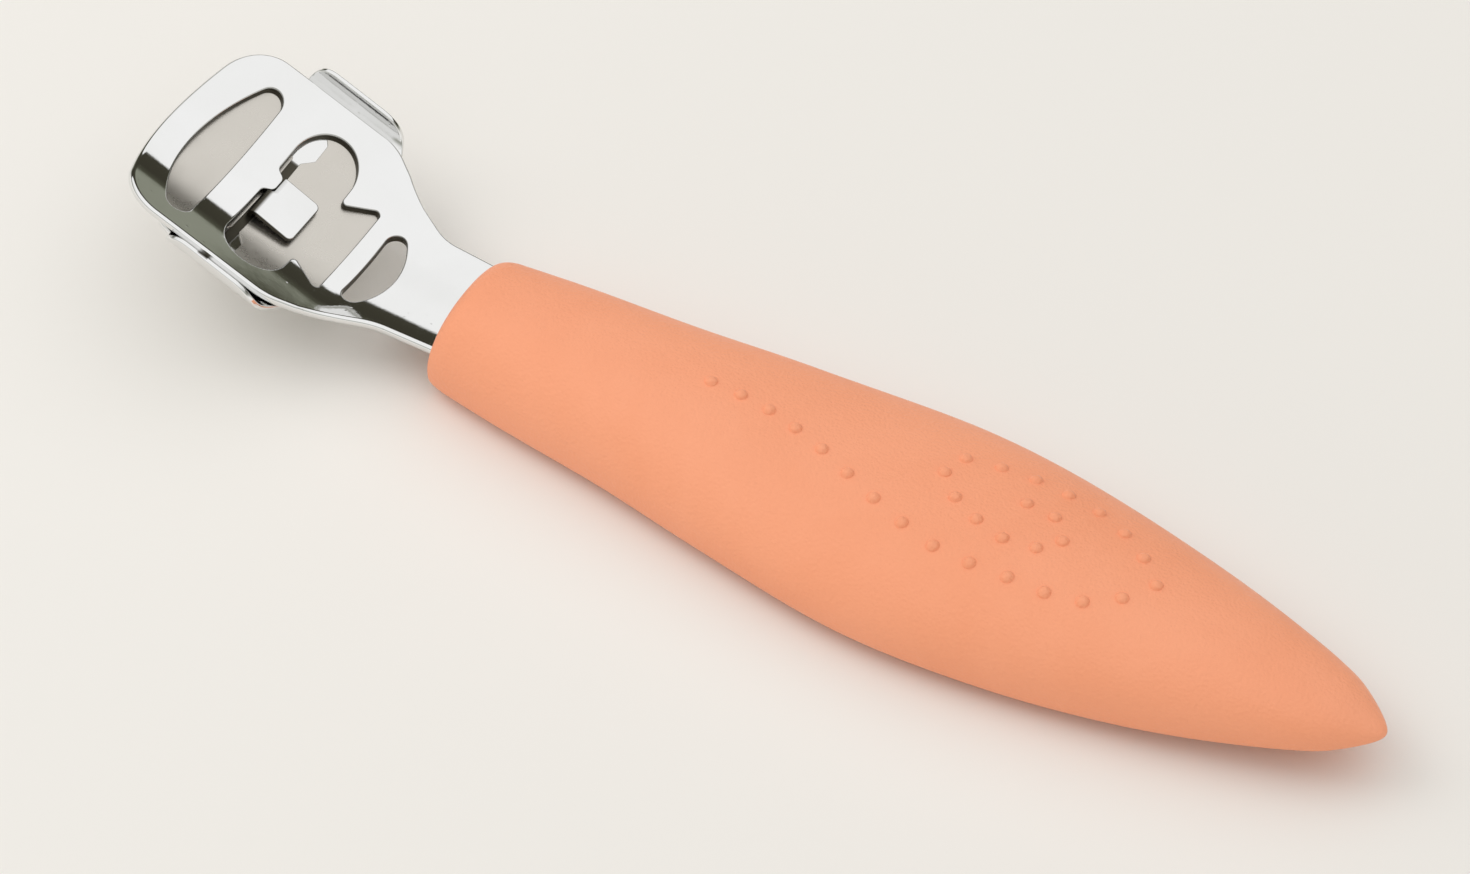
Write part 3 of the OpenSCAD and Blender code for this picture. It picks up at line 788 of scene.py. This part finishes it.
# Hook: a tab of the guard plate's sheet that comes up through the blade's slot and lies back
# over the rear window. u runs up its front face, round the bend and along the flat
hook = {
    "flatL": 5.45,
    "halfWidth": 3.35,
    "rootY": 0.7,           # the root ends here, beside the crossbar's bump
    "rootFoot": -1.6,       # height where the root starts, inside the guard plate
    "top": 0.45,            # height of the bend's top above the trough's floor
    "innerR": 0.3,
    "droop": 5.0,           # degrees by which the flat falls towards the handle
    "cornerR": 0.8,
    "rootR": 0.2,           # corners of the root
    "stepR": 0.25,          # and of the step from the root to the broader flat
    "upperEdgeR": 0.14,
    "lowerEdgeR": 0.1,
    "bendShade": 1.0,       # strength of the painted shade on the root and the bend
    "pitch": 0.4,
    "bendRows": 14,
    "gap": 0.08,
}
hookOuterR = hook["innerR"] + tool["guardT"]
hookBendN = hook["top"] - hookOuterR
hookRootL = hookBendN - hook["rootFoot"]
hookDroop = radians(hook["droop"])
hookTurn = pi / 2 + hookDroop
hookArcL = hookOuterR * hookTurn


# The root rises straight, the bend is an arc of innerR inside, and the flat droops from it
def hookPlace(u, y, share):
    r = hookOuterR - tool["guardT"] * share
    turn = np.clip((u - hookRootL) / hookArcL, 0, 1) * hookTurn
    root = np.minimum(u - hookRootL, 0)
    flat = np.maximum(u - hookRootL - hookArcL, 0)
    s = hookOuterR - hookFront - r * np.cos(turn) + flat * cos(hookDroop)
    return onTool(s, y, hookBendN + r * np.sin(turn) + root - flat * sin(hookDroop))


# Painted shade on the root and the bend, fading out into the flat over the bend's last quarter
def bendShade(u, y):
    return hook["bendShade"] * np.clip((hookRootL + hookArcL - u) / (hookArcL / 4), 0, 1)


def makeHook(size):
    flatFrom, halfW = hookRootL + hookArcL, size["halfWidth"]
    end, step = flatFrom + size["flatL"], flatFrom - 0.1
    corners = [(0, -halfW, size["rootR"]), (end, -halfW, size["cornerR"]),
               (end, halfW, size["cornerR"]), (step, halfW, size["stepR"]),
               (step, size["rootY"], size["stepR"]), (0, size["rootY"], size["rootR"])]
    loop = evenLoop(roundedLoop(corners), outlineStep / 2)
    profile = edgeProfile(tool["guardT"], size["upperEdgeR"], size["lowerEdgeR"], 4)
    rootU, flatU = [0.4, 0.75], np.arange(flatFrom + 0.5, end, size["pitch"])
    bendU = np.linspace(hookRootL - 0.1, flatFrom + 0.1, size["bendRows"])
    inside = gridPoints(np.concatenate([rootU, bendU, flatU]), np.arange(-halfW, halfW, 0.35))
    # The hook's cut edges carry painted shade as well
    sheetPiece("hook", [(loop, profile, 1)], hookPlace, inside, size["gap"],
               guardChrome, "blade_holder", "blade_holder", shade=bendShade)


makeHook(hook)

# Handle
handle = {
    "frontW": 9.2,          # half widths: just behind the front face, at the waist, at the
    "waistW": 12.4,         # broadest place and near the tip
    "bellyW": 16.89,
    "tipW": 7.4,
    "top": 6.7,             # height of the upper face above the trough's floor
    "bottom": 6.0,          # depth of the flat underside below it
    "soleCut": 0.2,         # the underside is lofted lower by this and then levelled
    "soleSoftness": 0.12,   # rounding where the level part begins
    "widestShare": 0.34,    # share of the thickness that lies below the widest line
    "toeStart": 0.63,       # where the underside starts to rise, as a share of the length
    "toeRise": 6.4,
    "tipT": 2.6,
    "frontShares": (0.94, 0.64, 0.9),    # of width, upper and lower height left at the very front
    "frontRound": 3.0,
    "tipRound": 7.0,
    "upperPower": 2.2,      # of the superellipses above and below the widest line
    "lowerPower": 3.0,
    "rings": 300,
    "endRings": 24,         # more of them round each end
    "sides": 64,            # points to each quarter of a ring
}


# Cubic curve through the keys (place, value), with the slope at each taken from its neighbours
def smoothKeys(keys, t):
    at, value = np.array(keys, float).T
    slope = np.gradient(value, at, edge_order=1)
    slope[1:-1] = (value[2:] - value[:-2]) / (at[2:] - at[:-2])
    i = np.clip(np.searchsorted(at, t) - 1, 0, len(at) - 2)
    h = at[i + 1] - at[i]
    u = (t - at[i]) / h
    return ((2 * u ** 3 - 3 * u ** 2 + 1) * value[i] + (u ** 3 - 2 * u ** 2 + u) * slope[i] * h
            + (3 * u ** 2 - 2 * u ** 3) * value[i + 1] + (u ** 3 - u ** 2) * slope[i + 1] * h)


# Half width, widest line and heights above and below it at a share t of the length, with both
# ends drawn in on quarter ellipses, the front face less than the tip
def handleSection(t):
    frontW, waistW, bellyW = handle["frontW"], handle["waistW"], handle["bellyW"]
    tipW, top = handle["tipW"], handle["top"]
    width = smoothKeys([(0, frontW), (0.09, (frontW + waistW) / 2), (0.21, waistW),
                        (0.33, (waistW + bellyW) / 2), (0.49, bellyW), (0.62, 0.94 * bellyW),
                        (0.78, (bellyW + tipW) / 2), (0.91, tipW), (1, tipW / 2.6)], t)
    upper = smoothKeys([(0, top - 0.2), (0.12, top + 0.1), (0.27, top + 0.1), (0.44, top - 0.4),
                        (0.63, top + 0.5), (0.78, top), (0.91, top - 1.4), (1, top - 3.7)], t)
    toe = np.maximum(t - handle["toeStart"], 0) / (1 - handle["toeStart"])
    sole = -handle["bottom"] - handle["soleCut"]
    lower = np.minimum(sole + handle["toeRise"] * toe ** 2, upper - handle["tipT"])
    middle = lower + handle["widestShare"] * (upper - lower)
    front = np.sqrt(1 - np.maximum(1 - t * handleL / handle["frontRound"], 0) ** 2)
    tip = np.sqrt(np.maximum(1 - np.maximum(1 - (1 - t) * handleL / handle["tipRound"], 0) ** 2, 0))
    across, up, down = (share + (1 - share) * front for share in handle["frontShares"])
    return (width * across * tip, middle, (upper - middle) * up * tip,
            (middle - lower) * down * tip)


# Quarter of a superellipse, as (across, up) at even steps
def quarter(count, power):
    v = np.linspace(0, 1, count, endpoint=False)
    a = pi / 2 * v ** (power / 2) / (v ** (power / 2) + (1 - v) ** (power / 2))
    return np.cos(a) ** (2 / power), np.sin(a) ** (2 / power)


# The smooth maximum of z and the level of the sole
def levelled(z):
    sole = -handle["bottom"]
    return (z + sole + np.sqrt((z - sole) ** 2 + handle["soleSoftness"] ** 2)) / 2


# Superellipse rings along the length, closer where the ends are rounded, closed by a flat fan
# in front and a pole at the tip
def makeHandle(size):
    front, tip, sides = size["frontRound"] / handleL, size["tipRound"] / handleL, size["sides"]
    a = np.linspace(0, pi / 2, size["endRings"])
    t = np.concatenate([front * (1 - np.cos(a)), np.linspace(front, 1 - tip, size["rings"])[1:-1],
                        1 - tip * (1 - np.cos(a[:0:-1]))])
    width, middle, up, down = (part[:, None] for part in handleSection(t))
    upAcross, upHigh = quarter(sides, size["upperPower"])
    downAcross, downHigh = quarter(sides, size["lowerPower"])
    # Round the ring from +y over the top, down past -y and back below
    zero = np.zeros(1)
    across = np.concatenate([upAcross, zero, -upAcross[:0:-1], -downAcross, zero, downAcross[:0:-1]])
    high = np.concatenate([upHigh, zero + 1, upHigh[:0:-1], zero, -downHigh[1:], zero - 1,
                           -downHigh[:0:-1]])
    y = width * across
    z = levelled(middle + np.where(high > 0, up, down) * high)
    x = tool["handleStart"] + t[:, None] * handleL + 0 * y
    rings, n = y.shape
    points = np.stack([x, y, z], axis=-1).reshape(-1, 3)
    ends = np.array([[x[0, 0], 0, z[0].mean()], [tool["handleStart"] + handleL, 0, middle[-1, 0]]])
    points = np.vstack([points, ends]) + [bendX, 0, floorZ]
    quads = ringQuads(0, rings, n)[:, [0, 3, 2, 1]]    # turned round to face outwards
    j, last = np.arange(n), (rings - 1) * n
    caps = np.vstack([np.column_stack([(j + 1) % n, j, 0 * j + rings * n]),
                      np.column_stack([last + j, last + (j + 1) % n, 0 * j + rings * n + 1])])
    normals = meshNormals(points, np.vstack([splitQuads(quads), caps]))
    newPiece("handle", points, quads, caps, normals, mattePlastic, "handle", "handle")


makeHandle(handle)

# Grip dots: a row that runs back along the handle and curls into a spiral. The path is in
# hundredths of the handle's length and of its greatest half width. The pace says how far along
# it the dots have come, in hundredths of it against hundredths of their count
gripDots = {
    "path": [(27, 8), (33, 8), (40, -3), (47, -22), (55, -39), (62, -38), (70, -31), (75, 4),
             (73, 23), (67, 47), (59, 52), (52, 43), (51, 29), (53, 10), (56, -2), (60, -11),
             (65, -3), (65, 10), (63, 25), (60, 26)],
    "pace": [(0, 0), (14, 13.1), (38, 39.5), (69, 70.9), (90, 91.1), (100, 100)],
    "pathSteps": 8,         # between two keys of the path
    "count": 30,
    "baseR": 0.86,
    "height": 0.54,
    "domePower": 2.2,       # of the dome, flatter on top where it is greater
    "rimPower": 0.9,        # steeper at the rim where it is less
    "sink": 0.03,
    "rings": 10,
    "spokes": 28,
}


# Height of the handle's upper face: middle + up * (1 - share^p)^(1/p), share being |y| / width
def handleSurface(x, y):
    width, middle, up, _ = handleSection((x - tool["handleStart"]) / handleL)
    share = np.minimum(np.abs(y) / width, 0.98)
    return middle + up * (1 - share ** handle["upperPower"]) ** (1 / handle["upperPower"])


# Each dot is a disc of the handle's own face, raised along its normal by
# height * (1 - r^domePower)^rimPower - sink * r^8, with r as a share of baseR
def makeGripDots(size):
    order = np.arange(len(size["path"]))
    steps = np.linspace(0, order[-1], size["pathSteps"] * order[-1] + 1)
    share = np.array(size["path"], float)
    keysX = tool["handleStart"] + share[:, 0] / 100 * handleL
    keysY = share[:, 1] / 100 * handle["bellyW"]
    pathX, pathY = (smoothKeys(np.column_stack([order, keys]), steps) for keys in (keysX, keysY))
    run = np.concatenate([[0], np.cumsum(np.hypot(np.diff(pathX), np.diff(pathY)))])
    at = smoothKeys(size["pace"], np.linspace(0, 100, size["count"])) / 100 * run[-1]
    centreX, centreY = (np.interp(at, run, path)[:, None, None] for path in (pathX, pathY))
    n, rings = size["spokes"], size["rings"]
    r = np.linspace(0, 1, rings + 1)[1:, None]
    a = np.linspace(0, 2 * pi, n, endpoint=False)
    rise = size["height"] * (1 - r ** size["domePower"]) ** size["rimPower"] - size["sink"] * r ** 8
    x = centreX + size["baseR"] * r * np.cos(a)
    y = centreY + size["baseR"] * r * np.sin(a)
    points = dotPoints(x, y, rise)
    tops = dotPoints(centreX, centreY, size["height"] + 0 * centreX)
    each = n * rings + 1
    points = np.concatenate([points.reshape(size["count"], -1, 3), tops.reshape(-1, 1, 3)], axis=1)
    base, j = each * np.arange(size["count"])[:, None], np.arange(n)
    quads = ringQuads(base[:, None], rings, n)
    caps = np.stack([base + j, base + (j + 1) % n, base + each - 1 + 0 * j], axis=-1)
    points, caps = points.reshape(-1, 3), caps.reshape(-1, 3)
    normals = meshNormals(points, np.vstack([splitQuads(quads), caps]))
    newPiece("gripDots", points, quads, caps, normals, mattePlastic, "handle", "handle")


# Points of the handle's upper face moved out by rise along its normal, from its slopes there
def dotPoints(x, y, rise):
    step = 0.01
    slopeX = (handleSurface(x + step, y) - handleSurface(x - step, y)) / (2 * step)
    slopeY = (handleSurface(x, y + step) - handleSurface(x, y - step)) / (2 * step)
    normal = np.stack([-slopeX, -slopeY, 1 + 0 * slopeX], axis=-1)
    normal /= np.linalg.norm(normal, axis=-1, keepdims=True)
    face = np.stack([x, y, handleSurface(x, y)], axis=-1)
    return face + normal * rise[..., None] + [bendX, 0, floorZ]


makeGripDots(gripDots)

# Table, light and camera
studio = {
    "paper": (0.86, 0.832, 0.79),
    "tableHalf": 12.0,      # metres
    "roomStrength": 1.07,
    "keyPlace": (-0.59, -0.12, 0.60),
    "keySize": 0.6,
    "keyPower": 1.7,
}


def makeTable(size):
    half = size["tableHalf"]
    mesh = bpy.data.meshes.new("table")
    corners = [(-half, -half, 0), (half, -half, 0), (half, half, 0), (-half, half, 0)]
    mesh.from_pydata(corners, [], [(0, 1, 2, 3)])
    material, tree, shader, _ = newMaterial("paper")
    setInputs(tree, shader, {"Base Color": (*size["paper"], 1), "Roughness": 0.9,
                             "Specular IOR Level": 0.1})
    mesh.materials.append(material)
    newObject("table", mesh)


# Colour of the room by height, as stops of a ramp over the direction's Z
def roomRamp(tree, height, stops):
    ramp = addNode(tree, "ShaderNodeValToRGB", {"Fac": height})
    elements = ramp.color_ramp.elements
    while len(elements) < len(stops):
        elements.new(1)
    for element, (place, color) in zip(elements, stops):
        element.position = place
        element.color = (*color, 1)
    return ramp.outputs["Color"]


# The room is what the polished faces show. On the far side a grey wall with a dark band above
# it stands under a white ceiling, and on the near side the wall is pale with one soft dim band
def makeRoom(size):
    world = bpy.data.worlds.new("room")
    bpy.context.scene.world = world
    world.use_nodes = True
    tree = world.node_tree
    way = addNode(tree, "ShaderNodeTexCoord", {}).outputs["Generated"]
    split = addNode(tree, "ShaderNodeSeparateXYZ", {"Vector": way})
    far = roomRamp(tree, split.outputs["Z"], [
        (0.02, (0.5, 0.5, 0.45)), (0.08, (0.30, 0.31, 0.255)), (0.165, (0.262, 0.273, 0.217)),
        (0.205, (0.075, 0.075, 0.053)), (0.28, (0.045, 0.042, 0.03)), (0.452, (0.05, 0.047, 0.033)),
        (0.475, (1, 1, 1))])
    near = roomRamp(tree, split.outputs["Z"], [
        (0, (1, 0.985, 0.95)), (0.22, (0.95, 0.94, 0.91)), (0.36, (0.34, 0.345, 0.31)),
        (0.5, (0.42, 0.425, 0.39)), (0.7, (0.85, 0.85, 0.84)), (0.88, (1, 1, 1))])
    side = addNode(tree, "ShaderNodeMapRange", {"Value": split.outputs["Y"], "From Min": 0.25,
                   "From Max": 0.65}, interpolation_type="SMOOTHSTEP")
    setInputs(tree, tree.nodes["Background"], {
        "Color": mixColor(tree, side.outputs["Result"], near, far),
        "Strength": size["roomStrength"]})


# A square lamp that faces the origin
def makeKeyLight(size):
    light = bpy.data.lights.new("key", "AREA")
    light.energy = size["keyPower"]
    light.size = size["keySize"]
    lamp = newObject("key", light)
    lamp.visible_glossy = False    # the polished faces show the room alone
    lamp.location = size["keyPlace"]
    lamp.rotation_euler = Vector(size["keyPlace"]).to_track_quat("Z", "Y").to_euler()


camera = {
    "place": (0.3000, -0.4931, 0.6711),
    "azimuth": 31.57,       # degrees, right hand side of the tool towards the camera
    "elevation": 48.95,
    "lens": 180.7,
}


# right, up and back are the camera's axes, and back points from the tool to it
def makeCamera(size):
    azimuth, elevation = radians(size["azimuth"]), radians(size["elevation"])
    right = Vector((cos(azimuth), sin(azimuth), 0))
    back = Vector((sin(azimuth) * cos(elevation), -cos(azimuth) * cos(elevation), sin(elevation)))
    up = back.cross(right)
    data = bpy.data.cameras.new("camera")
    data.lens = size["lens"]
    data.sensor_width = 36
    data.sensor_fit = "HORIZONTAL"
    data.clip_start = 0.01
    data.clip_end = 100
    view = newObject("camera", data)
    turned = Matrix((right, up, back)).transposed().to_4x4()
    view.matrix_world = Matrix.Translation(size["place"]) @ turned
    bpy.context.scene.camera = view


makeTable(studio)
makeRoom(studio)
makeKeyLight(studio)
makeCamera(camera)
bpy.context.scene.view_settings.view_transform = "Standard"
print("studio set")
